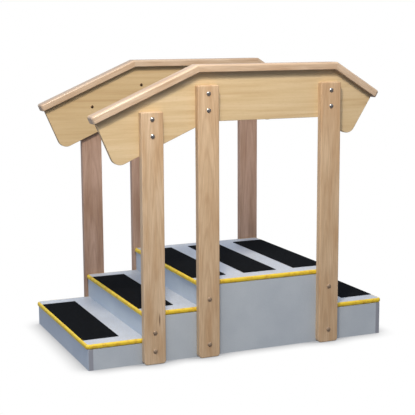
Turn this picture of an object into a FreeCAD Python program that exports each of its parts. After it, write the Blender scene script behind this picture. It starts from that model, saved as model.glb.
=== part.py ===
import FreeCAD, Part
import os
import re
import Sketcher
from FreeCAD import Placement, Rotation, Vector

# Physiotherapy training stairs: two low steps up to a platform, one taller step down,
# and a handrail board with a moulded cap along each side, bolted to six posts.
# Shop coordinates: x from the first riser's face, y from the near side's face, z from the floor.
# Each body's placement then moves it to the part's own frame, which is centred on the floor.

SIZES = {
    "step_run": (230, "tread depth of a low step, riser to riser"),
    "end_run": (234, "tread depth of the tall step"),
    "step_rise": (101.6, "one low rise, 4 in; the tall rise is one and a half of these"),
    "platform_length": (600, "platform, riser to riser"),
    "stair_width": (748, "across the side panels"),
    "panel": (19, "thickness of every laminated board"),
    "nosing": (8, "edge moulding beyond the riser"),
    "crown": (8, "thickness of the moulding in front of the board's edge"),
    "crown_corner": (16, "plan radius of the moulding at a tread's corner"),
    "crown_round": (7.5, "round on the moulding's long edges, nearly half round"),
    "tongue_depth": (9, "moulding tongue inside the board"),
    "tongue_thickness": (2.4, "moulding tongue, top to bottom"),
    "tongue_root": (1, "tongue that runs into the crown"),
    "groove_gap": (0.2, "groove larger than the tongue, each way"),
    "riser_round": (3, "round on a riser's outer vertical edges"),
    "mat_width": (146, "anti-slip strip along the walk"),
    "mat_length": (604, "anti-slip strip across the stair"),
    "mat_thickness": (2, "anti-slip strip"),
    "cleat": (25, "square section of the battens under the treads"),
    "cleat_gap": (2, "batten short of the panel at each end"),
    "rib_gap": (0.5, "clearance of the platform rib round the battens"),
    "post_width": (89, "post along the stair"),
    "post_thickness": (29, "post across the stair"),
    "post_round": (4.5, "round along a post's outer face"),
    "post_top_round": (5, "round on a post's top corners"),
    "post_foot_round": (13, "round on a post's bottom corners"),
    "post_lap": (12.5, "post past the riser line that it covers"),
    "low_post": (982, "height of the post on the second step"),
    "high_post": (1076, "height of the two platform posts"),
    "rail_start": (458, "left bend of the rail's underside"),
    "rail_level": (595, "level stretch of the rail's underside"),
    "rail_under": (1125, "underside of the level cap above the floor"),
    "left_pitch": (23.5, "slope of the rail over the low steps, degrees"),
    "right_pitch": (32, "slope of the rail over the tall step, degrees"),
    "left_slope": (448, "rail board's top edge down the low steps"),
    "right_slope": (211, "rail board's top edge down the tall step"),
    "rail_depth": (190, "rail board, square to its top edge"),
    "rail_board": (19, "rail board thickness"),
    "rail_corner": (38, "round on the rail board's lower end corners"),
    "rail_ease": (2, "eased edges of the rail board"),
    "cap_width": (64, "cap across the stair"),
    "cap_thickness": (30, "cap, square to its underside"),
    "cap_end": (12, "cap beyond the rail board at each end"),
    "cap_corner": (12, "plan radius at the cap's ends"),
    "cap_top_round": (9, "round along the cap's top edges"),
    "cap_low_round": (3, "round along the cap's lower edges"),
    "bolt_hole": (8.4, "clearance hole for the carriage bolts"),
    "bolt_shank": (8, "carriage bolt"),
    "bolt_head": (18, "carriage bolt head diameter"),
    "head_height": (4.5, "carriage bolt dome"),
    "washer_width": (18, "washer diameter"),
    "washer_thickness": (1.6, "washer"),
    "nut_width": (14.6, "nut across corners"),
    "nut_height": (6.5, "nut"),
    "thread_in_nut": (8, "bolt past the washer"),
    "rail_bolt_short": (2, "rail bolt short of the board's inner face"),
    "sleeve_head": (14, "head diameter of the rail's sleeve nuts"),
    "sleeve_head_height": (2.6, "dome of the sleeve nut's head"),
    "sleeve_width": (10, "sleeve diameter"),
    "sleeve_length": (12, "sleeve inside the rail board"),
    "sleeve_floor": (1, "solid end of the sleeve, under its head"),
    "sleeve_hole": (10.4, "hole for the sleeve"),
    "sleeve_hole_depth": (13, "hole for the sleeve, from the board's inner face"),
    "sleeve_key": (2.9, "hexagon recess in the sleeve nut, corner radius"),
    "sleeve_key_depth": (1.8, "depth of the hexagon recess"),
    "foot_bolt": (54, "lowest bolt in every post"),
    "low_base_bolt": (128, "upper base bolt in the low posts"),
    "high_base_bolt": (238, "upper base bolt in the high posts"),
    "low_rail_bolt": (890, "lower rail bolt in the low posts"),
    "high_rail_bolt": (980, "lower rail bolt in the high posts"),
    "bolt_pitch": (64, "between the two rail bolts of a post"),
    "screw_shank": (4, "tread screw"),
    "screw_head": (8, "tread screw head diameter"),
    "screw_head_height": (2.5, "tread screw head"),
    "screw_bite": (12, "tread screw inside the tread board"),
}

LENGTH = "(2 * step_run + platform_length + end_run)"
PLATFORM_START = "(2 * step_run)"
PLATFORM_END = "(2 * step_run + platform_length)"

# Every box module: where it starts and ends, its tread's top, its side panels' ends, and where
# the tread screws sit, as shares of the batten's length.
MODULES = {
    "first_step": {"start": "0", "end": "step_run", "top": "step_rise",
                   "side": ("panel", "step_run"), "screws": (0.2, 0.8)},
    "second_step": {"start": "step_run", "end": PLATFORM_START, "top": "2 * step_rise",
                    "side": ("(step_run + panel)", PLATFORM_START), "screws": (0.2, 0.8)},
    "platform": {"start": PLATFORM_START, "end": PLATFORM_END, "top": "3 * step_rise",
                 "side": ("(2 * step_run + panel)", "(%s - panel)" % PLATFORM_END),
                 "screws": (0.12, 0.36, 0.64, 0.88)},
    "end_step": {"start": PLATFORM_END, "end": LENGTH, "top": "1.5 * step_rise",
                 "side": (PLATFORM_END, "(%s - panel)" % LENGTH), "screws": (0.2, 0.8)},
}

# Every riser: where its board starts, its step's top, and whether it faces the tall end.
RISERS = {
    "first_step": ("0", "step_rise", False),
    "second_step": ("step_run", "2 * step_rise", False),
    "platform_left": (PLATFORM_START, "3 * step_rise", False),
    "platform_right": ("(%s - panel)" % PLATFORM_END, "3 * step_rise", True),
    "end_step": ("(%s - panel)" % LENGTH, "1.5 * step_rise", True),
}

# Every anti-slip strip: where it starts and the tread's top that it is stuck to.
MATS = {
    "first_step": ("0", "step_rise"),
    "second_step": ("step_run", "2 * step_rise"),
    "platform_left": (PLATFORM_START, "3 * step_rise"),
    "platform_middle": ("(%s + (platform_length - mat_width) / 2)" % PLATFORM_START, "3 * step_rise"),
    "platform_right": ("(%s - mat_width)" % PLATFORM_END, "3 * step_rise"),
    "end_step": ("(%s - mat_width)" % LENGTH, "1.5 * step_rise"),
}

# Every post: its middle, its height, and its two base bolts and two rail bolts.
LOW_BOLTS = ("foot_bolt", "low_base_bolt", "low_rail_bolt", "low_rail_bolt + bolt_pitch")
HIGH_BOLTS = ("foot_bolt", "high_base_bolt", "high_rail_bolt", "high_rail_bolt + bolt_pitch")
POSTS = {
    "second_step": ("(step_run - post_lap + post_width / 2)", "low_post", LOW_BOLTS),
    "platform_left": ("(%s - post_lap + post_width / 2)" % PLATFORM_START, "high_post", HIGH_BOLTS),
    "platform_right": ("(%s + post_lap - post_width / 2)" % PLATFORM_END, "high_post", HIGH_BOLTS),
}
CLEAT_MIDDLES = ("panel + cleat / 2", "stair_width - panel - cleat / 2")
POST_OF_SIDE = {"second_step": ["second_step"], "platform": ["platform_left", "platform_right"]}

TOLERANCE = 0.01        # mm, for telling edges apart by their place
SHORT_EDGE = 0.5        # mm, edges below this are slivers between fillets
LEAST_CUT = 1.0         # mm3, a pocket that removes less has missed the solid

doc = FreeCAD.newDocument("training_stairs")
sheet = doc.addObject("Spreadsheet::Sheet", "Sizes")
nodes = []


def fill_sheet():
    for row, (alias, (value, note)) in enumerate(SIZES.items(), start=1):
        sheet.set("A%d" % row, alias)
        sheet.set("B%d" % row, str(value))
        sheet.set("C%d" % row, note)
        sheet.setAlias("B%d" % row, alias)
    doc.recompute()


def bound(text):
    """The same expression with every size read from the sheet."""
    return re.sub(r"[a-z_]+", lambda m: "Sizes." + m.group(0) if m.group(0) in SIZES else m.group(0), text)


def number(text):
    value = sheet.evalExpression(bound(text))
    return float(getattr(value, "Value", value))


def origin_plane(body, role):
    return next(f for f in body.Origin.OriginFeatures if f.Role == role)


def new_sketch(body, plane, lift="0"):
    sketch = body.newObject("Sketcher::SketchObject", "Sketch")
    sketch.AttachmentSupport = (origin_plane(body, plane), "")
    sketch.MapMode = "FlatFace"
    sketch.setExpression("AttachmentOffset.Base.z", bound(lift))
    return sketch


def fix_point(sketch, geometry, point, x, y):
    """Ties a sketch point to its distances from the sketch's origin."""
    for kind, text in (("DistanceX", x), ("DistanceY", y)):
        index = sketch.addConstraint(Sketcher.Constraint(kind, -1, 1, geometry, point, number(text)))
        sketch.setExpression("Constraints[%d]" % index, bound(text))


def add_outline(sketch, corners):
    """A closed outline of straight edges through the given (x, y) expressions."""
    first = sketch.GeometryCount
    points = [Vector(number(x), number(y), 0) for x, y in corners]
    for start, end in zip(points, points[1:] + points[:1]):
        sketch.addGeometry(Part.LineSegment(start, end), False)
    for index, (x, y) in enumerate(corners):
        following = (index + 1) % len(corners)
        sketch.addConstraint(Sketcher.Constraint("Coincident", first + index, 2, first + following, 1))
        fix_point(sketch, first + index, 1, x, y)


def rectangle(x0, y0, x1, y1):
    return [(x0, y0), (x1, y0), (x1, y1), (x0, y1)]


def pad(body, sketch, length):
    feature = body.newObject("PartDesign::Pad", "Pad")
    feature.Profile = sketch
    feature.setExpression("Length", bound(length))
    doc.recompute()
    return feature


def cut(body, sketch, length=None, along=True):
    """A pocket along the sketch's normal, or against it; with no length it goes through both ways."""
    before = body.Shape.Volume
    feature = body.newObject("PartDesign::Pocket", "Pocket")
    feature.Profile = sketch
    if length is None:
        feature.Type = 1
        feature.SideType = 2
    else:
        feature.setExpression("Length", bound(length))
        feature.Reversed = along
    doc.recompute()
    if body.Shape.Volume > before - LEAST_CUT:
        raise RuntimeError("pocket cut nothing in " + body.Label)
    return feature


def drill(body, plane, centres, diameter, length=None, lift="0", along=True):
    sketch = new_sketch(body, plane, lift)
    for x, y in centres:
        middle = Vector(number(x), number(y), 0)
        index = sketch.addGeometry(Part.Circle(middle, Vector(0, 0, 1), number(diameter) / 2), False)
        fix_point(sketch, index, 3, x, y)
        size = sketch.addConstraint(Sketcher.Constraint("Diameter", index, number(diameter)))
        sketch.setExpression("Constraints[%d]" % size, bound(diameter))
    return cut(body, sketch, length, along)


def round_edges(body, radius, wanted):
    """Rounds every edge of the body's tip whose middle and direction pass the test."""
    tip = body.Tip
    names = []
    for index, edge in enumerate(tip.Shape.Edges, start=1):
        if edge.Length < SHORT_EDGE:
            continue
        middle = edge.valueAt((edge.FirstParameter + edge.LastParameter) / 2)
        along = edge.tangentAt((edge.FirstParameter + edge.LastParameter) / 2)
        if wanted(middle, along):
            names.append("Edge%d" % index)
    if not names:
        raise RuntimeError("no edge to round in " + body.Label)
    feature = body.newObject("PartDesign::Fillet", "Fillet")
    feature.Base = (tip, names)
    feature.setExpression("Radius", bound(radius))
    doc.recompute()
    return feature


def new_body(label):
    body = doc.addObject("PartDesign::Body", label)
    body.Label = label
    nodes.append(body)
    return body


def place(thing, x, y, z, turn=0):
    """Puts a sub-part at a point given in shop coordinates, turned about the vertical."""
    thing.Placement = Placement(Vector(), Rotation(Vector(0, 0, 1), turn))
    thing.setExpression("Placement.Base.x", bound("%s - %s / 2" % (x, LENGTH)))
    thing.setExpression("Placement.Base.y", bound("%s - stair_width / 2" % y))
    thing.setExpression("Placement.Base.z", bound(z))


def near(value, *targets):
    return any(abs(value - target) < TOLERANCE for target in targets)


def upright(direction):
    return near(abs(direction.z), 1)


def across(direction):
    return near(abs(direction.y), 1)


def make_riser(step):
    """A full-width riser; its two outer upright edges are rounded."""
    start, top, faces_end = RISERS[step]
    body = new_body("riser_" + step)
    sketch = new_sketch(body, "YZ_Plane")
    add_outline(sketch, rectangle("0", "0", "stair_width", top + " - panel"))
    pad(body, sketch, "panel")
    face = number("panel") if faces_end else 0
    round_edges(body, "riser_round", lambda m, d: upright(d) and near(m.x, face))
    place(body, start, "0", "0")


def make_side(module, side):
    """One side panel of a box module, drilled for the bolts of the posts that stand on it."""
    start, end = MODULES[module]["side"]
    body = new_body("side_%s_%s" % (module, side))
    sketch = new_sketch(body, "XZ_Plane")
    add_outline(sketch, rectangle(start, "0", end, MODULES[module]["top"] + " - panel"))
    pad(body, sketch, "panel")
    posts = POST_OF_SIDE.get(module, [])
    holes = [(POSTS[post][0], bolt) for post in posts for bolt in POSTS[post][2][:2]]
    if holes:
        drill(body, "XZ_Plane", holes, "bolt_hole")
    place(body, "0", "panel" if side == "near" else "stair_width", "0")


def tread_screw_spots(module):
    """Where the screws sit along a tread's battens, in shop coordinates."""
    start, end = MODULES[module]["side"]
    return ["(%s + (%s - %s) * %s)" % (start, end, start, share) for share in MODULES[module]["screws"]]


def tread_frame(module):
    """A tread's front edge, its depth behind the moulding, and its turn."""
    start, end = MODULES[module]["start"], MODULES[module]["end"]
    if module == "end_step":
        return "(%s + nosing)" % end, "(end_run + nosing)", 180
    if module == "platform":
        return "(%s - nosing)" % start, "(platform_length + 2 * nosing)", 0
    return "(%s - nosing)" % start, "(step_run + nosing)", 0


def make_tread(module):
    """A tread board with a groove round its open edges for the moulding's tongue."""
    front, depth, turn = tread_frame(module)
    back = "(%s - crown)" % depth if module == "platform" else depth
    body = new_body("tread_" + module)
    sketch = new_sketch(body, "XY_Plane")
    add_outline(sketch, rectangle("crown", "crown", back, "stair_width - crown"))
    pad(body, sketch, "panel")
    open_ends = [number("crown")] + ([number(back)] if module == "platform" else [])
    round_edges(body, "crown_corner - crown", lambda m, d: upright(d) and near(m.x, *open_ends))
    groove = new_sketch(body, "XY_Plane", "(panel - tongue_thickness) / 2 - groove_gap")
    add_band(groove, module, depth, "0", "crown + tongue_depth + groove_gap")
    cut(body, groove, "tongue_thickness + 2 * groove_gap")
    sign = "-1" if turn else "1"
    centres = [("(%s - %s) * %s" % (spot, front, sign), y)
               for spot in tread_screw_spots(module) for y in CLEAT_MIDDLES]
    drill(body, "XY_Plane", centres, "screw_shank", "screw_bite")
    place(body, front, "stair_width" if turn else "0", MODULES[module]["top"] + " - panel", turn)


def add_band(sketch, module, depth, outer, inner):
    """The plan of a band round a tread's open edges, between two distances from its outline."""
    far_outer, far_inner = "stair_width - (%s)" % outer, "stair_width - (%s)" % inner
    if module == "platform":
        add_outline(sketch, rectangle(outer, outer, "%s - (%s)" % (depth, outer), far_outer))
        add_outline(sketch, rectangle(inner, inner, "%s - (%s)" % (depth, inner), far_inner))
    else:
        add_outline(sketch, [(outer, outer), (depth, outer), (depth, inner), (inner, inner),
                             (inner, far_inner), (depth, far_inner), (depth, far_outer),
                             (outer, far_outer)])


def make_moulding(module):
    """The T-shaped edge moulding: a rounded crown round the tread and a tongue in its groove."""
    front, depth, turn = tread_frame(module)
    closed = module == "platform"
    body = new_body("edge_moulding_" + module)
    crown = new_sketch(body, "XY_Plane")
    add_band(crown, module, depth, "0", "crown")
    pad(body, crown, "panel")
    run, width, thick, corner = [number(text) for text in (depth, "stair_width", "crown", "crown_corner")]
    middle = run / 2 if closed else run
    outer_ends = (0, run) if closed else (0,)
    inner_ends = (thick, run - thick) if closed else (thick,)

    def on_outline(m):
        """True on the crown's outer outline, its corner arcs included."""
        beyond_x = max(abs(m.x - middle) - middle + corner, 0)
        beyond_y = max(abs(m.y - width / 2) - width / 2 + corner, 0)
        return near(Vector(beyond_x, beyond_y, 0).Length, corner)

    round_edges(body, "crown_corner",
                lambda m, d: upright(d) and near(m.x, *outer_ends) and near(m.y, 0, width))
    round_edges(body, "crown_corner - crown",
                lambda m, d: upright(d) and near(m.x, *inner_ends) and near(m.y, thick, width - thick))
    round_edges(body, "crown_round", lambda m, d: near(d.z, 0) and on_outline(m))
    tongue = new_sketch(body, "XY_Plane", "(panel - tongue_thickness) / 2")
    add_band(tongue, module, depth, "crown - tongue_root", "crown + tongue_depth")
    pad(body, tongue, "tongue_thickness")
    place(body, front, "stair_width" if turn else "0", MODULES[module]["top"] + " - panel", turn)


def make_mat(spot):
    start, top = MATS[spot]
    body = new_body("mat_" + spot)
    sketch = new_sketch(body, "XY_Plane")
    add_outline(sketch, rectangle("0", "0", "mat_width", "mat_length"))
    pad(body, sketch, "mat_thickness")
    place(body, start, "(stair_width - mat_length) / 2", top)


def make_cleat(module, side):
    """A square batten under the tread, screwed up into it."""
    start, end = MODULES[module]["side"]
    body = new_body("cleat_%s_%s" % (module, side))
    sketch = new_sketch(body, "XY_Plane")
    add_outline(sketch, rectangle("%s + cleat_gap" % start, "0", "%s - cleat_gap" % end, "cleat"))
    pad(body, sketch, "cleat")
    drill(body, "XY_Plane", [(spot, "cleat / 2") for spot in tread_screw_spots(module)], "screw_shank")
    y = "panel" if side == "near" else "stair_width - panel - cleat"
    place(body, "0", y, MODULES[module]["top"] + " - panel - cleat")


def make_rib():
    """The upright board under the middle of the platform, notched round the battens."""
    body = new_body("platform_rib")
    sketch = new_sketch(body, "YZ_Plane")
    top = "3 * step_rise - panel"
    step = "cleat + rib_gap"
    inner = "stair_width - 2 * panel"
    add_outline(sketch, [("0", "0"), (inner, "0"), (inner, "%s - (%s)" % (top, step)),
                         ("%s - (%s)" % (inner, step), "%s - (%s)" % (top, step)),
                         ("%s - (%s)" % (inner, step), top), (step, top),
                         (step, "%s - (%s)" % (top, step)), ("0", "%s - (%s)" % (top, step))])
    pad(body, sketch, "panel")
    place(body, "%s + (platform_length - panel) / 2" % PLATFORM_START, "panel", "0")


def make_post(post, side):
    """A solid post standing on the floor outside the stair, with two base and two rail bolts."""
    middle, height, bolts = POSTS[post]
    body = new_body("post_%s_%s" % (post, side))
    sketch = new_sketch(body, "XZ_Plane")
    add_outline(sketch, rectangle("-post_width / 2", "0", "post_width / 2", height))
    pad(body, sketch, "post_thickness")
    top, face = number(height), -number("post_thickness")
    round_edges(body, "post_foot_round", lambda m, d: across(d) and near(m.z, 0))
    round_edges(body, "post_top_round", lambda m, d: across(d) and near(m.z, top))
    round_edges(body, "post_round", lambda m, d: near(m.y, face))
    drill(body, "XZ_Plane", [("0", bolt) for bolt in bolts], "bolt_hole")
    far = side == "far"
    place(body, middle, "stair_width" if far else "0", "0", 180 if far else 0)


RAIL_END = "(rail_start + rail_level)"
LEFT = {"cos": "cos(left_pitch * 1deg)", "sin": "sin(left_pitch * 1deg)",
        "half": "tan(left_pitch * 0.5deg)"}
RIGHT = {"cos": "cos(right_pitch * 1deg)", "sin": "sin(right_pitch * 1deg)",
         "half": "tan(right_pitch * 0.5deg)"}


def rail_point(slope, length, drop):
    """A point of the rail's outline: down a slope from its bend, then square below it."""
    if slope is LEFT:
        return ("rail_start - (%s) * %s + (%s) * %s" % (length, LEFT["cos"], drop, LEFT["sin"]),
                "rail_under - (%s) * %s - (%s) * %s" % (length, LEFT["sin"], drop, LEFT["cos"]))
    return ("%s + (%s) * %s - (%s) * %s" % (RAIL_END, length, RIGHT["cos"], drop, RIGHT["sin"]),
            "rail_under - (%s) * %s - (%s) * %s" % (length, RIGHT["sin"], drop, RIGHT["cos"]))


def bend_point(slope, drop):
    """A point of the mitre line at a bend, a given distance below the cap's underside."""
    if slope is LEFT:
        return "rail_start + (%s) * %s" % (drop, LEFT["half"]), "rail_under - (%s)" % drop
    return "%s - (%s) * %s" % (RAIL_END, drop, RIGHT["half"]), "rail_under - (%s)" % drop


def make_rail_board(side):
    """One bent board along the posts' inner faces, with rounded lower ends."""
    body = new_body("rail_board_" + side)
    sketch = new_sketch(body, "XZ_Plane")
    add_outline(sketch, [bend_point(LEFT, "0"), rail_point(LEFT, "left_slope", "0"),
                         rail_point(LEFT, "left_slope", "rail_depth"), bend_point(LEFT, "rail_depth"),
                         bend_point(RIGHT, "rail_depth"), rail_point(RIGHT, "right_slope", "rail_depth"),
                         rail_point(RIGHT, "right_slope", "0"), bend_point(RIGHT, "0")])
    pad(body, sketch, "rail_board")

    def spot(slope, length, drop):
        return [number(text) for text in rail_point(slope, length, drop)]

    lower_ends = [spot(LEFT, "left_slope", "rail_depth"), spot(RIGHT, "right_slope", "rail_depth")]
    slope_tops = [spot(LEFT, "left_slope / 2", "0"), spot(RIGHT, "right_slope / 2", "0")]
    level_top = number("rail_under")

    def at(m, spots):
        return any(near(m.x, x) and near(m.z, z) for x, z in spots)

    round_edges(body, "rail_corner", lambda m, d: across(d) and at(m, lower_ends))
    round_edges(body, "rail_ease",
                lambda m, d: near(d.y, 0) and not near(m.z, level_top) and not at(m, slope_tops))
    centres = [(middle, bolt) for middle, _, bolts in POSTS.values() for bolt in bolts[2:]]
    drill(body, "XZ_Plane", centres, "bolt_hole")
    inner_face = "0" if side == "near" else "rail_board"
    drill(body, "XZ_Plane", centres, "sleeve_hole", "sleeve_hole_depth", inner_face, side == "near")
    place(body, "0", "rail_board" if side == "near" else "stair_width", "0")


def make_cap(part, side):
    """One mitred length of the moulded cap: left slope, level or right slope."""
    body = new_body("cap_%s_%s" % (part, side))
    sketch = new_sketch(body, "XZ_Plane")
    top = "-cap_thickness"
    slope = RIGHT if part == "right" else LEFT
    if part == "level":
        add_outline(sketch, [bend_point(LEFT, "0"), bend_point(RIGHT, "0"),
                             bend_point(RIGHT, top), bend_point(LEFT, top)])
    else:
        length = part + "_slope + cap_end"
        add_outline(sketch, [bend_point(slope, "0"), rail_point(slope, length, "0"),
                             rail_point(slope, length, top), bend_point(slope, top)])
    pad(body, sketch, "cap_width")
    if part != "level":
        end_x, end_z = [number(text) for text in rail_point(slope, length, "-cap_thickness / 2")]
        round_edges(body, "cap_corner", lambda m, d: near(m.x, end_x) and near(m.z, end_z))
    tilt = {"left": "-left_pitch", "level": "0", "right": "right_pitch"}[part]
    normal = Rotation(Vector(0, 1, 0), number(tilt)).multVec(Vector(0, 0, 1))
    bend_x, bend_z = [number(text) for text in bend_point(slope, "0")]
    underside = Vector(bend_x, 0, bend_z)
    thick = number("cap_thickness")
    mitres = [number(bend_point(bend, "-cap_thickness / 2")[0]) for bend in (LEFT, RIGHT)]

    def free_edge(m, d, height):
        """True on the outline at a height over the underside, but not on a mitre."""
        on_mitre = across(d) and any(abs(m.x - x) < thick for x in mitres)
        return near((m - underside).dot(normal), height) and not on_mitre

    round_edges(body, "cap_top_round", lambda m, d: free_edge(m, d, thick))
    round_edges(body, "cap_low_round", lambda m, d: free_edge(m, d, 0))
    y = "rail_board / 2 + cap_width / 2"
    place(body, "0", y if side == "near" else "stair_width - rail_board + %s" % y, "0")


def bolt_spots(first):
    """(x, y, z, turn) of the base bolts (first 0) or the rail bolts (first 2), at the post's face."""
    spots = []
    for middle, _, bolts in POSTS.values():
        for bolt in bolts[first:first + 2]:
            spots.append((middle, "-post_thickness", bolt, 0))
            spots.append((middle, "stair_width + post_thickness", bolt, 180))
    return spots


def solid(kind, name, **sizes):
    thing = doc.addObject(kind, name)
    for prop, value in sizes.items():
        thing.setExpression(prop, bound(value))
    return thing


def aim(thing, along, tilt=-90):
    """Lays a vertical primitive along +Y, its foot a given distance behind the post's face."""
    thing.Placement = Placement(Vector(), Rotation(Vector(1, 0, 0), tilt))
    thing.setExpression("Placement.Base.y", bound(along))
    return thing


def group(label, spots, make):
    """A node of identical fasteners: one solid at each spot."""
    members = []
    for x, y, z, turn in spots:
        member = make()
        holder = doc.addObject("Part::Compound", label + "_one")
        holder.Links = [member]
        place(holder, x, y, z, turn)
        members.append(holder)
    compound = doc.addObject("Part::Compound", label)
    compound.Links = members
    compound.Label = label
    nodes.append(compound)
    doc.recompute()


def fuse(first, second):
    joined = doc.addObject("Part::Fuse", "Fuse")
    joined.Base, joined.Tool = first, second
    return joined


def bore(outer, inner):
    bored = doc.addObject("Part::Cut", "Cut")
    bored.Base, bored.Tool = outer, inner
    return bored


CLAMPED = "(post_thickness + panel)"
BASE_BOLT = "(post_thickness + panel + washer_thickness + thread_in_nut)"
RAIL_BOLT = "(post_thickness + rail_board - rail_bolt_short)"


def dome(height, width, foot, tilt):
    """A low dome that stands on a face square to the bolts."""
    cap = aim(solid("Part::Ellipsoid", "Dome", Radius1=height, Radius2=width + " / 2"), foot, tilt)
    cap.Angle1 = 0
    cap.Angle2 = 90
    return cap


def carriage_bolt(length):
    """A domed head against the post's face and a plain shank through post and board."""
    shank = aim(solid("Part::Cylinder", "Shank", Radius="bolt_shank / 2", Height=length), "0")
    return fuse(dome("head_height", "bolt_head", "0", 90), shank)


def washer():
    plate = solid("Part::Cylinder", "Plate", Radius="washer_width / 2", Height="washer_thickness")
    hole = solid("Part::Cylinder", "Hole", Radius="bolt_hole / 2", Height="washer_thickness")
    return bore(aim(plate, CLAMPED), aim(hole, CLAMPED))


def hex_nut():
    nut = solid("Part::Prism", "Hex", Circumradius="nut_width / 2", Height="nut_height")
    nut.Polygon = 6
    thread = aim(solid("Part::Cylinder", "Bore", Radius="bolt_shank / 2", Height="nut_height"),
                 CLAMPED + " + washer_thickness")
    return bore(aim(nut, CLAMPED + " + washer_thickness"), thread)


def sleeve_nut():
    """A low domed head on the board's inner face and a sleeve that takes the bolt inside the board."""
    inner = "(post_thickness + rail_board)"
    sleeve = aim(solid("Part::Cylinder", "Sleeve", Radius="sleeve_width / 2", Height="sleeve_length"),
                 inner + " - sleeve_length")
    thread_depth = "sleeve_length - sleeve_floor"
    thread = aim(solid("Part::Cylinder", "Bore", Radius="bolt_shank / 2", Height=thread_depth),
                 inner + " - sleeve_length")
    head = dome("sleeve_head_height", "sleeve_head", inner, -90)
    key = solid("Part::Prism", "Key", Circumradius="sleeve_key", Height="sleeve_key_depth")
    key.Polygon = 6
    recess = aim(key, inner + " + sleeve_head_height - sleeve_key_depth")
    return bore(bore(fuse(sleeve, head), thread), recess)


def tread_screw():
    """A pan head under the batten and a shank up into the tread."""
    head = solid("Part::Cylinder", "Head", Radius="screw_head / 2", Height="screw_head_height")
    head.setExpression("Placement.Base.z", bound("-screw_head_height"))
    shank = solid("Part::Cylinder", "Shank", Radius="screw_shank / 2", Height="cleat + screw_bite")
    return fuse(head, shank)


def tread_screw_places():
    return [(spot, y, module["top"] + " - panel - cleat", 0)
            for name, module in MODULES.items() for spot in tread_screw_spots(name) for y in CLEAT_MIDDLES]


def build():
    fill_sheet()
    for step in RISERS:
        make_riser(step)
    for module in MODULES:
        make_tread(module)
        make_moulding(module)
        for side in ("near", "far"):
            make_side(module, side)
            make_cleat(module, side)
    make_rib()
    for spot in MATS:
        make_mat(spot)
    for side in ("near", "far"):
        for post in POSTS:
            make_post(post, side)
        make_rail_board(side)
        for part in ("left", "level", "right"):
            make_cap(part, side)
    group("base_bolts", bolt_spots(0), lambda: carriage_bolt(BASE_BOLT))
    group("rail_bolts", bolt_spots(2), lambda: carriage_bolt(RAIL_BOLT))
    group("base_washers", bolt_spots(0), washer)
    group("base_nuts", bolt_spots(0), hex_nut)
    group("rail_sleeve_nuts", bolt_spots(2), sleeve_nut)
    group("tread_screws", tread_screw_places(), tread_screw)


def check_and_export():
    doc.recompute()
    for thing in doc.Objects:
        if "Invalid" in thing.State or "Error" in thing.State:
            raise RuntimeError("%s failed: %s" % (thing.Label, thing.State))
    for node in nodes:
        if node.Shape.isNull() or not node.Shape.isValid() or not node.Shape.Solids:
            raise RuntimeError(node.Label + " has no valid solid")
    os.makedirs("parts", exist_ok=True)
    for node in nodes:
        node.Shape.exportStep("parts/%s.step" % node.Label)
        print("%-28s %3d solid(s) %12.0f mm3" % (node.Label, len(node.Shape.Solids), node.Shape.Volume))
    print(len(nodes), "nodes")


build()
check_and_export()
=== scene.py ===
import math
import random
import bpy
from mathutils import Euler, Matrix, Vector


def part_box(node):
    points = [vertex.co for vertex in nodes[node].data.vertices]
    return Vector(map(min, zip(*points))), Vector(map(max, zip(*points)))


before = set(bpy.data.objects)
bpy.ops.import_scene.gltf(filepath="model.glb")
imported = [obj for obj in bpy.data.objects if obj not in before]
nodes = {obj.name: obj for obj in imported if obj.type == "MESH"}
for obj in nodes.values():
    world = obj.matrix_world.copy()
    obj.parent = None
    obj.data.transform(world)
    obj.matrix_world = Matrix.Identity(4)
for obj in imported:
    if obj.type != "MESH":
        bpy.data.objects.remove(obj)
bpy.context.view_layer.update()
print("frame loaded:", len(nodes), "pieces")


def linear(hexColour):
    parts = [int(hexColour[i:i + 2], 16) / 255 for i in (1, 3, 5)]
    return tuple(p / 12.92 if p <= 0.04045 else ((p + 0.055) / 1.055) ** 2.4 for p in parts) + (1.0,)


def addNode(tree, kind, inputs=None, out=0, stops=None, **settings):
    # a shader node with its settings, values and links; gives back the output that is used next
    node = tree.nodes.new("ShaderNode" + kind)
    for name, value in settings.items():
        setattr(node, name, value)
    for key, value in (inputs or {}).items():
        if isinstance(value, bpy.types.NodeSocket):
            tree.links.new(value, node.inputs[key])
        else:
            node.inputs[key].default_value = value
    if stops:
        elements = node.color_ramp.elements
        while len(elements) < len(stops):
            elements.new(0.5)
        for element, (position, colour) in zip(elements, stops):
            element.position = position
            element.color = linear(colour)
    return node.outputs[out]


# a Mix node's sockets: how much of the second colour, the first and the second
share, first, second = 0, 6, 7
ofColours = {"out": 2, "data_type": "RGBA"}


def newMaterial(name):
    material = bpy.data.materials.new(name)
    material.use_nodes = True
    tree = material.node_tree
    return material, tree, tree.nodes["Principled BSDF"]


def cells(alongMm, acrossMm):
    # the scale that makes a noise cell alongMm long and acrossMm wide
    return 1000 / alongMm, 1000 / acrossMm, 1000 / acrossMm


def dress(name, material):
    piece = nodes[name]
    piece.data.materials.clear()
    piece.data.materials.append(material)


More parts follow.
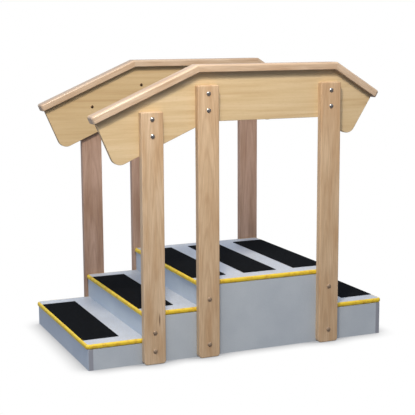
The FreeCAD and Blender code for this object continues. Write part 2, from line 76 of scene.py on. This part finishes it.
# Hard maple, flat sawn, planed and lacquered: a pale pinkish tan with faint arched growth lines,
# soft blotches and short fibres. Fibres are drawn three times their real width, so that they show.
maple = {
    "pale": "#D0B99B", "middle": "#C6AD8D", "deep": "#BB9D79", "line": "#A58662",
    "blotch": {"mm": (260, 34), "detail": 3.0, "roughness": 0.5},
    "fibre": {"mm": (150, 3.4), "detail": 4.0, "roughness": 0.62},
    "pore": {"mm": (26, 1.2), "detail": 2.0, "roughness": 0.5},
    "blotchAt": (0.32, 0.5, 0.68), "fibreAt": (0.3, 0.7), "fibreTone": "#DCD8D6", "fibreStrength": 0.8,
    "poreAt": (0.6, 0.72), "poreStrength": 0.28,
    "ringMm": 6.0, "ringStretch": 12, "ringWander": 3.4, "lineAt": (0.7, 1.0), "lineStrength": 0.24,
    "board": "a", "tilt": (1.2, 2.6), "alongM": (-9, 9), "offFaceMm": (45, 90), "asideMm": (-20, 20),
    "roughness": (0.39, 0.52), "bump": 0.1, "bumpMm": 0.3, "lacquer": 0.12, "lacquerRoughness": 0.22,
}
# The far posts are painted darker, as painted shade for the dim far side, and redder.
farShadeMaple = {"pale": "#B39887", "middle": "#A68B79", "deep": "#987B67", "line": "#806555"}
# The near posts at the platform are painted slightly darker and warmer than the others.
warmMaple = {"pale": "#CCB392", "middle": "#C2A785", "deep": "#B79772", "line": "#A1805D"}
# The caps are moulded from paler stock and get a thicker coat of lacquer.
paleMaple = {"pale": "#C6B29A", "middle": "#BDA68B", "deep": "#B3977A", "line": "#A18263",
             "lineStrength": 0.2, "lacquer": 0.3}
# The battens and the rib are left sawn and bare.
sawnMaple = {"roughness": (0.57, 0.7), "lacquer": 0.0}
# A short dark mineral streak in the face of the near post at the second step: mm from the post's
# middle and from the floor.
mineralStreak = {"piece": "post_second_step_near", "aside": 19, "height": 177, "halfWidth": 3.4,
                 "halfLength": 29, "fadeAt": (1.1, 0.4), "strength": 0.85, "colour": "#54412F"}
waveGap = 0.314   # the wave node's rings are this far apart at scale 1


def lacqueredMaple(name, middle, turn, changes=None):
    look = dict(maple, **(changes or {}))
    material, tree, shader = newMaterial("lacqueredMaple." + name)
    dice = random.Random(look["board"] + name)
    place = addNode(tree, "TexCoord", out="Object")
    # the grain runs along local X, and the pith lies off the board's face, slightly askew to it
    askew = Euler((0, 0, math.radians(dice.uniform(*look["tilt"]))))
    tilted = askew.to_matrix() @ Euler(turn).to_matrix()
    fromPith = Vector((dice.uniform(*look["alongM"]), dice.uniform(*look["offFaceMm"]) / 1000,
                       dice.uniform(*look["asideMm"]) / 1000))
    grain = addNode(tree, "Mapping", {"Vector": place, "Rotation": tilted.to_euler(),
                                      "Location": fromPith - tilted @ Vector(middle)})
    ringScale = waveGap / look["ringMm"] * 1000
    ringScales = (ringScale / look["ringStretch"], ringScale, ringScale)
    ringSpace = addNode(tree, "Mapping", {"Vector": grain, "Scale": ringScales})
    rings = addNode(tree, "TexWave", {"Vector": ringSpace, "Scale": 1.0, "Distortion": look["ringWander"],
                                      "Detail": 2.0, "Detail Scale": 0.5},
                    out="Fac", wave_type="RINGS", rings_direction="X")
    noise = {}
    for pattern in ("blotch", "fibre", "pore"):
        size = look[pattern]
        space = addNode(tree, "Mapping", {"Vector": grain, "Scale": cells(*size["mm"])})
        noise[pattern] = addNode(tree, "TexNoise", {"Vector": space, "Scale": 1.0,
                                                    "Detail": size["detail"],
                                                    "Roughness": size["roughness"]})
    blotchTones = zip(look["blotchAt"], (look["deep"], look["middle"], look["pale"]))
    colour = addNode(tree, "ValToRGB", {"Fac": noise["blotch"]}, stops=list(blotchTones))
    isLine = addNode(tree, "MapRange", {"Value": rings, "From Min": look["lineAt"][0],
                                        "From Max": look["lineAt"][1], "To Max": look["lineStrength"]})
    lineColour = linear(look["line"])
    colour = addNode(tree, "Mix", {share: isLine, first: colour, second: lineColour}, **ofColours)
    fibreTones = zip(look["fibreAt"], (look["fibreTone"], "#FFFFFF"))
    fibreTone = addNode(tree, "ValToRGB", {"Fac": noise["fibre"]}, stops=list(fibreTones))
    colour = addNode(tree, "Mix", {share: look["fibreStrength"], first: colour, second: fibreTone},
                     blend_type="MULTIPLY", **ofColours)
    isPore = addNode(tree, "MapRange", {"Value": noise["pore"], "From Min": look["poreAt"][0],
                                        "From Max": look["poreAt"][1], "To Max": look["poreStrength"]})
    colour = addNode(tree, "Mix", {share: isPore, first: colour, second: lineColour}, **ofColours)
    if name == mineralStreak["piece"]:
        streak = mineralStreak
        spot = Vector((middle[0] + streak["aside"] / 1000, 0, streak["height"] / 1000))
        scale = Vector((1000 / streak["halfWidth"], 0, 1000 / streak["halfLength"]))
        fromSpot = addNode(tree, "Mapping", {"Vector": place, "Scale": scale, "Location": -spot * scale})
        reach = addNode(tree, "VectorMath", {0: fromSpot}, out="Value", operation="LENGTH")
        isStreak = addNode(tree, "MapRange", {"Value": reach, "From Min": streak["fadeAt"][0],
                                              "From Max": streak["fadeAt"][1],
                                              "To Max": streak["strength"]})
        colour = addNode(tree, "Mix", {share: isStreak, first: colour, second: linear(streak["colour"])},
                         **ofColours)
    tree.links.new(colour, shader.inputs["Base Color"])
    rough = addNode(tree, "MapRange", {"Value": noise["fibre"], "To Min": look["roughness"][0],
                                       "To Max": look["roughness"][1]})
    tree.links.new(rough, shader.inputs["Roughness"])
    bump = addNode(tree, "Bump", {"Strength": look["bump"], "Distance": look["bumpMm"] / 1000,
                                  "Height": noise["fibre"]})
    tree.links.new(bump, shader.inputs["Normal"])
    shader.inputs["Coat Weight"].default_value = look["lacquer"]
    shader.inputs["Coat Roughness"].default_value = look["lacquerRoughness"]
    return material


# Birch plywood, sanded and lacquered: a straw-coloured face veneer with fine level streaks and short
# dashes, and edges striped by the plies. Streaks are drawn twice their real width, so that they show.
plywood = {
    "pale": "#C9B592", "middle": "#C2AD87", "deep": "#B8A079", "streakColour": "#A0875F",
    "figure": {"mm": (520, 22), "detail": 3.0, "roughness": 0.5, "wander": 0.4},
    "streak": {"mm": (230, 2.6), "detail": 3.0, "roughness": 0.6, "wander": 0.0},
    "dash": {"mm": (16, 1.5), "detail": 1.0, "roughness": 0.5, "wander": 0.0},
    "figureAt": (0.3, 0.5, 0.7), "streakAt": (0.5, 0.72), "streakStrength": 0.3,
    "dashAt": (0.6, 0.7), "dashStrength": 0.22, "alongM": (-9, 9),
    "plyLight": "#C3A87F", "plyDark": "#8F7250", "plies": 9, "boardMm": 19, "glueLine": 0.4,
    "faceAt": (0.6, 0.8), "roughness": (0.41, 0.54), "bump": 0.08, "bumpMm": 0.2,
    "lacquer": 0.1, "lacquerRoughness": 0.25,
}
# The far board is painted darker, as painted shade for the far side, and a little yellower.
farShadePlywood = {"pale": "#BEA882", "middle": "#B7A078", "deep": "#AD936B"}


def birchPlywood(name, changes=None):
    look = dict(plywood, **(changes or {}))
    material, tree, shader = newMaterial("birchPlywood." + name)
    place = addNode(tree, "TexCoord", out="Object")
    shift = (random.Random(name).uniform(*look["alongM"]), 0, 0)
    noise = {}
    for pattern in ("figure", "streak", "dash"):
        size = look[pattern]
        space = addNode(tree, "Mapping", {"Vector": place, "Location": shift,
                                          "Scale": cells(*size["mm"])})
        noise[pattern] = addNode(tree, "TexNoise", {"Vector": space, "Scale": 1.0,
                                                    "Detail": size["detail"],
                                                    "Roughness": size["roughness"],
                                                    "Distortion": size["wander"]})
    figureTones = zip(look["figureAt"], (look["deep"], look["middle"], look["pale"]))
    face = addNode(tree, "ValToRGB", {"Fac": noise["figure"]}, stops=list(figureTones))
    for pattern in ("streak", "dash"):
        start, full = look[pattern + "At"]
        mask = addNode(tree, "MapRange", {"Value": noise[pattern], "From Min": start, "From Max": full,
                                          "To Max": look[pattern + "Strength"]})
        face = addNode(tree, "Mix", {share: mask, first: face, second: linear(look["streakColour"])},
                       **ofColours)
    # plies show as stripes wherever the surface does not face across the stair
    depth = addNode(tree, "SeparateXYZ", {0: place}, out="Y")
    plyTurns = math.pi * look["plies"] / (look["boardMm"] / 1000)
    phase = addNode(tree, "Math", {0: depth, 1: plyTurns}, operation="MULTIPLY")
    wave = addNode(tree, "Math", {0: phase}, operation="SINE")
    plyTone = addNode(tree, "MapRange", {"Value": wave, "From Min": -look["glueLine"],
                                         "From Max": look["glueLine"]})
    edge = addNode(tree, "Mix", {share: plyTone, first: linear(look["plyLight"]),
                                 second: linear(look["plyDark"])}, **ofColours)
    normal = addNode(tree, "TexCoord", out="Normal")
    across = addNode(tree, "SeparateXYZ", {0: normal}, out="Y")
    facing = addNode(tree, "Math", {0: across}, operation="ABSOLUTE")
    isFace = addNode(tree, "MapRange", {"Value": facing, "From Min": look["faceAt"][0],
                                        "From Max": look["faceAt"][1]})
    colour = addNode(tree, "Mix", {share: isFace, first: edge, second: face}, **ofColours)
    tree.links.new(colour, shader.inputs["Base Color"])
    rough = addNode(tree, "MapRange", {"Value": noise["streak"], "To Min": look["roughness"][0],
                                       "To Max": look["roughness"][1]})
    tree.links.new(rough, shader.inputs["Roughness"])
    bump = addNode(tree, "Bump", {"Strength": look["bump"], "Distance": look["bumpMm"] / 1000,
                                  "Height": noise["streak"]})
    tree.links.new(bump, shader.inputs["Normal"])
    shader.inputs["Coat Weight"].default_value = look["lacquer"]
    shader.inputs["Coat Roughness"].default_value = look["lacquerRoughness"]
    return material


# Grey high-pressure laminate on board: a cool satin skin with a fine pearl texture. The treads have a
# warmer speck and a pale fleck, and the risers' ends have a darker edge band.
laminate = {
    "side": "#B0B9C0", "sideSpeck": "#A7B0B7", "band": "#888C95", "bandAt": (0.3, 0.9),
    "tread": "#B8C2D0", "treadSpeck": "#A9A9A5", "treadFleck": "#CFD0D3",
    "cloudMm": 110, "cloudAt": (0.3, 0.7), "cloudTone": "#F0F1F4", "cloudStrength": 0.8,
    "fleckMm": 3.2, "speckAt": (0.35, 0.65), "fleckAt": (0.6, 0.68), "fleckStrength": 0.6,
    "pearlMm": 1.6, "roughness": (0.34, 0.44), "bump": 0.08, "bumpMm": 0.2,
}


def pearlLaminate(name, base, speck, fleck=None, banded=False):
    look = laminate
    material, tree, shader = newMaterial(name)
    place = addNode(tree, "TexCoord", out="Object")
    cloud = addNode(tree, "TexNoise", {"Vector": place, "Scale": 1000 / look["cloudMm"], "Detail": 2.0})
    grit = addNode(tree, "TexNoise", {"Vector": place, "Scale": 1000 / look["fleckMm"], "Detail": 2.0,
                                      "Roughness": 0.7})
    pearl = addNode(tree, "TexNoise", {"Vector": place, "Scale": 1000 / look["pearlMm"], "Detail": 1.0})
    isBase = addNode(tree, "MapRange", {"Value": grit, "From Min": look["speckAt"][0],
                                        "From Max": look["speckAt"][1]})
    colour = addNode(tree, "Mix", {share: isBase, first: linear(speck), second: linear(base)},
                     **ofColours)
    cloudTones = zip(look["cloudAt"], (look["cloudTone"], "#FFFFFF"))
    shade = addNode(tree, "ValToRGB", {"Fac": cloud}, stops=list(cloudTones))
    colour = addNode(tree, "Mix", {share: look["cloudStrength"], first: colour, second: shade},
                     blend_type="MULTIPLY", **ofColours)
    if fleck:
        isFleck = addNode(tree, "MapRange", {"Value": grit, "From Min": look["fleckAt"][0],
                                             "From Max": look["fleckAt"][1],
                                             "To Max": look["fleckStrength"]})
        colour = addNode(tree, "Mix", {share: isFleck, first: colour, second: linear(fleck)}, **ofColours)
    if banded:
        normal = addNode(tree, "TexCoord", out="Normal")
        across = addNode(tree, "SeparateXYZ", {0: normal}, out="Y")
        facing = addNode(tree, "Math", {0: across}, operation="ABSOLUTE")
        isBand = addNode(tree, "MapRange", {"Value": facing, "From Min": look["bandAt"][0],
                                            "From Max": look["bandAt"][1]})
        colour = addNode(tree, "Mix", {share: isBand, first: colour, second: linear(look["band"])},
                         **ofColours)
    tree.links.new(colour, shader.inputs["Base Color"])
    rough = addNode(tree, "MapRange", {"Value": cloud, "To Min": look["roughness"][0],
                                       "To Max": look["roughness"][1]})
    tree.links.new(rough, shader.inputs["Roughness"])
    bump = addNode(tree, "Bump", {"Strength": look["bump"], "Distance": look["bumpMm"] / 1000,
                                  "Height": pearl})
    tree.links.new(bump, shader.inputs["Normal"])
    return material


# PVC edge moulding, extruded and knocked in with a mallet: lemon yellow, shiny on its bulge, with
# slight scuffs, which are the rougher parts.
moulding = {"yellow": "#D4B72B", "worn": "#BC9426", "scuffMm": 16.0, "scuffAt": (0.34, 0.52),
            "roughness": (0.5, 0.28), "bump": 0.06, "bumpMm": 0.3}


def extrudedPvc():
    look = moulding
    material, tree, shader = newMaterial("extrudedPvcMoulding")
    place = addNode(tree, "TexCoord", out="Object")
    scuff = addNode(tree, "TexNoise", {"Vector": place, "Scale": 1000 / look["scuffMm"], "Detail": 5.0,
                                       "Roughness": 0.6})
    scuffTones = zip(look["scuffAt"], (look["worn"], look["yellow"]))
    colour = addNode(tree, "ValToRGB", {"Fac": scuff}, stops=list(scuffTones))
    tree.links.new(colour, shader.inputs["Base Color"])
    rough = addNode(tree, "MapRange", {"Value": scuff, "To Min": look["roughness"][0],
                                       "To Max": look["roughness"][1]})
    tree.links.new(rough, shader.inputs["Roughness"])
    bump = addNode(tree, "Bump", {"Strength": look["bump"], "Distance": look["bumpMm"] / 1000,
                                  "Height": scuff})
    tree.links.new(bump, shader.inputs["Normal"])
    return material


# Mineral-coated anti-slip tape: black grit in a black binder, dead matte, with a few grains painted
# lighter as painted glints.
# The grit is drawn at three times its real 0.7 mm, because a finer one would not show.
antiSlip = {"binder": "#020304", "grain": "#07090C", "paintedGlint": "#1C2025", "gritMm": 2.1,
            "paintedGlintShare": 0.05, "roughness": 0.95, "specular": 0.08, "bump": 0.6, "bumpMm": 0.6}


def mineralTape():
    look = antiSlip
    material, tree, shader = newMaterial("mineralAntiSlipTape")
    place = addNode(tree, "TexCoord", out="Object")
    gritScale = 1000 / look["gritMm"]
    tint = addNode(tree, "TexVoronoi", {"Vector": place, "Scale": gritScale}, out="Color")
    hump = addNode(tree, "TexVoronoi", {"Vector": place, "Scale": gritScale}, out="Distance")
    pick = addNode(tree, "SeparateColor", {"Color": tint}, out="Red")
    colour = addNode(tree, "Mix", {share: pick, first: linear(look["binder"]),
                                   second: linear(look["grain"])}, **ofColours)
    # a few grains painted lighter as painted glints
    isPaintedGlint = addNode(tree, "Math", {0: pick, 1: 1 - look["paintedGlintShare"]}, operation="GREATER_THAN")
    colour = addNode(tree, "Mix", {share: isPaintedGlint, first: colour, second: linear(look["paintedGlint"])},
                     **ofColours)
    tree.links.new(colour, shader.inputs["Base Color"])
    height = addNode(tree, "MapRange", {"Value": hump, "To Min": 1.0, "To Max": 0.0})
    bump = addNode(tree, "Bump", {"Strength": look["bump"], "Distance": look["bumpMm"] / 1000,
                                  "Height": height})
    tree.links.new(bump, shader.inputs["Normal"])
    shader.inputs["Roughness"].default_value = look["roughness"]
    shader.inputs["Specular IOR Level"].default_value = look["specular"]
    return material


# Plated steel fasteners, rolled and tumbled: zinc is bright and slightly mottled, the base bolts are
# painted browner and duller as painted shade and a painted reflection of the wood around them, and
# the sleeve nuts are bronzed dark brown. The dull mottles are rougher.
plating = {
    "mottleMm": 4.0, "mottleAt": (0.35, 0.6),
    "zinc": {"bright": "#BDB9B2", "dull": "#827D76", "roughness": (0.36, 0.19), "metallic": 1.0},
    "shadedZinc": {"bright": "#A18C76", "dull": "#7D6B55", "roughness": (0.62, 0.45), "metallic": 0.45},
    "bronze": {"bright": "#6B5540", "dull": "#3B2D22", "roughness": (0.46, 0.29), "metallic": 1.0},
}


def platedSteel(kind):
    look = plating[kind]
    material, tree, shader = newMaterial(kind + "PlatedSteel")
    place = addNode(tree, "TexCoord", out="Object")
    mottle = addNode(tree, "TexNoise", {"Vector": place, "Scale": 1000 / plating["mottleMm"],
                                        "Detail": 4.0, "Roughness": 0.6})
    mottleTones = zip(plating["mottleAt"], (look["dull"], look["bright"]))
    colour = addNode(tree, "ValToRGB", {"Fac": mottle}, stops=list(mottleTones))
    tree.links.new(colour, shader.inputs["Base Color"])
    rough = addNode(tree, "MapRange", {"Value": mottle, "To Min": look["roughness"][0],
                                       "To Max": look["roughness"][1]})
    tree.links.new(rough, shader.inputs["Roughness"])
    shader.inputs["Metallic"].default_value = look["metallic"]
    return material


# the grain of a post runs up it, and the grain of a cap follows its slope, in degrees
levelGrain = (0, 0, 0)
uprightGrain = (0, math.radians(90), 0)
capSlopes = {"left": 23.5, "level": 0.0, "right": -32.0}

# what each piece is made of, by how its name starts; the first that fits counts
zincPlated = platedSteel("zinc")
shared = {
    "side_": pearlLaminate("pearlGreyLaminate", laminate["side"], laminate["sideSpeck"]),
    "riser_": pearlLaminate("bandedGreyLaminate", laminate["side"], laminate["sideSpeck"], banded=True),
    "tread_screws": zincPlated,
    "tread_": pearlLaminate("fleckedTreadLaminate", laminate["tread"], laminate["treadSpeck"],
                            laminate["treadFleck"]),
    "edge_moulding": extrudedPvc(),
    "mat_": mineralTape(),
    "cleat_": lacqueredMaple("battens", (0, 0, 0), levelGrain, sawnMaple),
    "platform_rib": lacqueredMaple("rib", (0, 0, 0), levelGrain, sawnMaple),
    "rail_sleeve_nuts": platedSteel("bronze"),
    "rail_bolts": zincPlated,
    # the base bolts' browner, duller colour is painted shade and a painted reflection of the wood
    "base_bolts": platedSteel("shadedZinc"),
    "base_nuts": zincPlated,
    "base_washers": zincPlated,
}
print("materials ready")

for name in sorted(nodes):
    low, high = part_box(name)
    middle = (Vector(low) + Vector(high)) / 2
    isFar = name.endswith("far")
    if name.startswith("post_"):
        # far posts take maple painted darker as painted shade; platform posts a slightly darker, warmer
        # one
        board = farShadeMaple if isFar else warmMaple if "platform" in name else None
        dress(name, lacqueredMaple(name, middle, uprightGrain, board))
    elif name.startswith("cap_"):
        slope = math.radians(capSlopes[name.split("_")[1]])
        dress(name, lacqueredMaple(name, middle, (0, slope, 0), paleMaple))
    elif name.startswith("rail_board"):
        # the far board takes plywood painted darker as painted shade
        dress(name, birchPlywood(name, farShadePlywood if isFar else None))
    else:
        dress(name, next(shared[start] for start in shared if name.startswith(start)))
print("pieces dressed")


# A white floor that darkens only close to what stands on it, a lamp and a long soft box high at the
# front left, a cool fill from the left and a warm one behind. The sky is bright and cool overhead and
# darker below, and the camera sees it as plain white.
studio = {
    "floorSize": 40.0, "contactReach": 0.085,
    "contactStops": [(0.42, "#AEAFB2"), (0.6, "#D6D6D7"), (0.97, "#FFFFFF")],
    "backdrop": "#FFFFFF",
    "skyStops": [(0.0, "#807C80"), (0.47, "#8A868A"), (0.53, "#A0A2A8"), (1.0, "#D2E2FC")],
    "lights": {
        "lamp": {"size": (0.35, 0.35), "at": (-1.0, -1.9, 3.1), "aim": (0, -0.36, 0.8), "watts": 74,
                 "colour": "#FFF1DE"},
        "softBox": {"size": (2.2, 0.8), "at": (-0.7, -2.1, 2.9), "aim": (0, -0.36, 0.8), "watts": 54,
                    "colour": "#FFF6EC"},
        "leftFill": {"size": (1.6, 1.6), "at": (-3.5, -0.5, 1.6), "aim": (-0.4, 0, 0.2), "watts": 40,
                     "colour": "#D6E6FF"},
        "backFill": {"size": (2.5, 1.5), "at": (0.6, 3.4, 1.5), "aim": (0, 0.37, 0.6), "watts": 45,
                     "colour": "#FFF3E4"},
    },
}


def addLight(name):
    look = studio["lights"][name]
    light = bpy.data.lights.new(name, "AREA")
    light.shape = "RECTANGLE"
    light.size, light.size_y = look["size"]
    light.energy = look["watts"]
    light.color = linear(look["colour"])[:3]
    lamp = bpy.data.objects.new(name, light)
    lamp.location = look["at"]
    lamp.rotation_euler = (Vector(look["at"]) - Vector(look["aim"])).to_track_quat("Z", "Y").to_euler()
    lamp.visible_camera = False
    lamp.visible_glossy = name != "backFill"   # its mirror image would bleach the treads
    bpy.context.scene.collection.objects.link(lamp)


def buildFloor():
    half = studio["floorSize"] / 2
    corners = [(-half, -half, 0), (half, -half, 0), (half, half, 0), (-half, half, 0)]
    mesh = bpy.data.meshes.new("floor")
    mesh.from_pydata(corners, [], [(0, 1, 2, 3)])
    floor = bpy.data.objects.new("floor", mesh)
    bpy.context.scene.collection.objects.link(floor)
    # the floor glows evenly, dims where something stands close, and throws no light on the pieces
    material, tree, shader = newMaterial("whitePaper")
    openness = addNode(tree, "AmbientOcclusion", {"Distance": studio["contactReach"]}, out="AO")
    shade = addNode(tree, "ValToRGB", {"Fac": openness}, stops=studio["contactStops"])
    tree.links.new(shade, shader.inputs["Emission Color"])
    shader.inputs["Emission Strength"].default_value = 1.0
    shader.inputs["Base Color"].default_value = (0, 0, 0, 1)
    shader.inputs["Specular IOR Level"].default_value = 0.0
    mesh.materials.append(material)
    floor.visible_diffuse = False
    floor.visible_glossy = False


def buildSky():
    world = bpy.data.worlds.new("studioSky")
    bpy.context.scene.world = world
    world.use_nodes = True
    tree = world.node_tree
    direction = addNode(tree, "TexCoord", out="Generated")
    height = addNode(tree, "SeparateXYZ", {0: direction}, out="Z")
    position = addNode(tree, "MapRange", {"Value": height, "From Min": -1.0, "From Max": 1.0})
    sky = addNode(tree, "ValToRGB", {"Fac": position}, stops=studio["skyStops"])
    ambient = addNode(tree, "Background", {"Color": sky, "Strength": 1.0})
    backdrop = addNode(tree, "Background", {"Color": linear(studio["backdrop"]), "Strength": 1.0})
    seen = addNode(tree, "LightPath", out="Is Camera Ray")
    both = addNode(tree, "MixShader", {0: seen, 1: ambient, 2: backdrop})
    tree.links.new(both, tree.nodes["World Output"].inputs["Surface"])


# A long lens from the stairs' left front corner, a little above the handrail. The place and the
# farthest distance are in metres, the lens and sensor in mm, and the turns in degrees.
shot = {"place": (-1.7960, -4.2195, 1.2870), "lens": 94.05, "sensor": 36.0, "farthest": 100,
        "yaw": -23.173, "pitch": 80.663, "roll": -0.304}


def buildCamera():
    data = bpy.data.cameras.new("shot")
    data.lens = shot["lens"]
    data.sensor_width = shot["sensor"]
    data.clip_end = shot["farthest"]
    camera = bpy.data.objects.new("shot", data)
    turn = Euler((0, 0, math.radians(shot["yaw"]))).to_matrix()
    tip = Euler((math.radians(shot["pitch"]), 0, 0)).to_matrix()
    lean = Euler((0, 0, math.radians(shot["roll"]))).to_matrix()
    camera.matrix_world = (turn @ tip @ lean).to_4x4()
    camera.location = shot["place"]
    bpy.context.scene.collection.objects.link(camera)
    bpy.context.scene.camera = camera


buildFloor()
buildSky()
for name in studio["lights"]:
    addLight(name)
buildCamera()
bpy.context.scene.view_settings.view_transform = "Standard"
print("studio and camera ready")
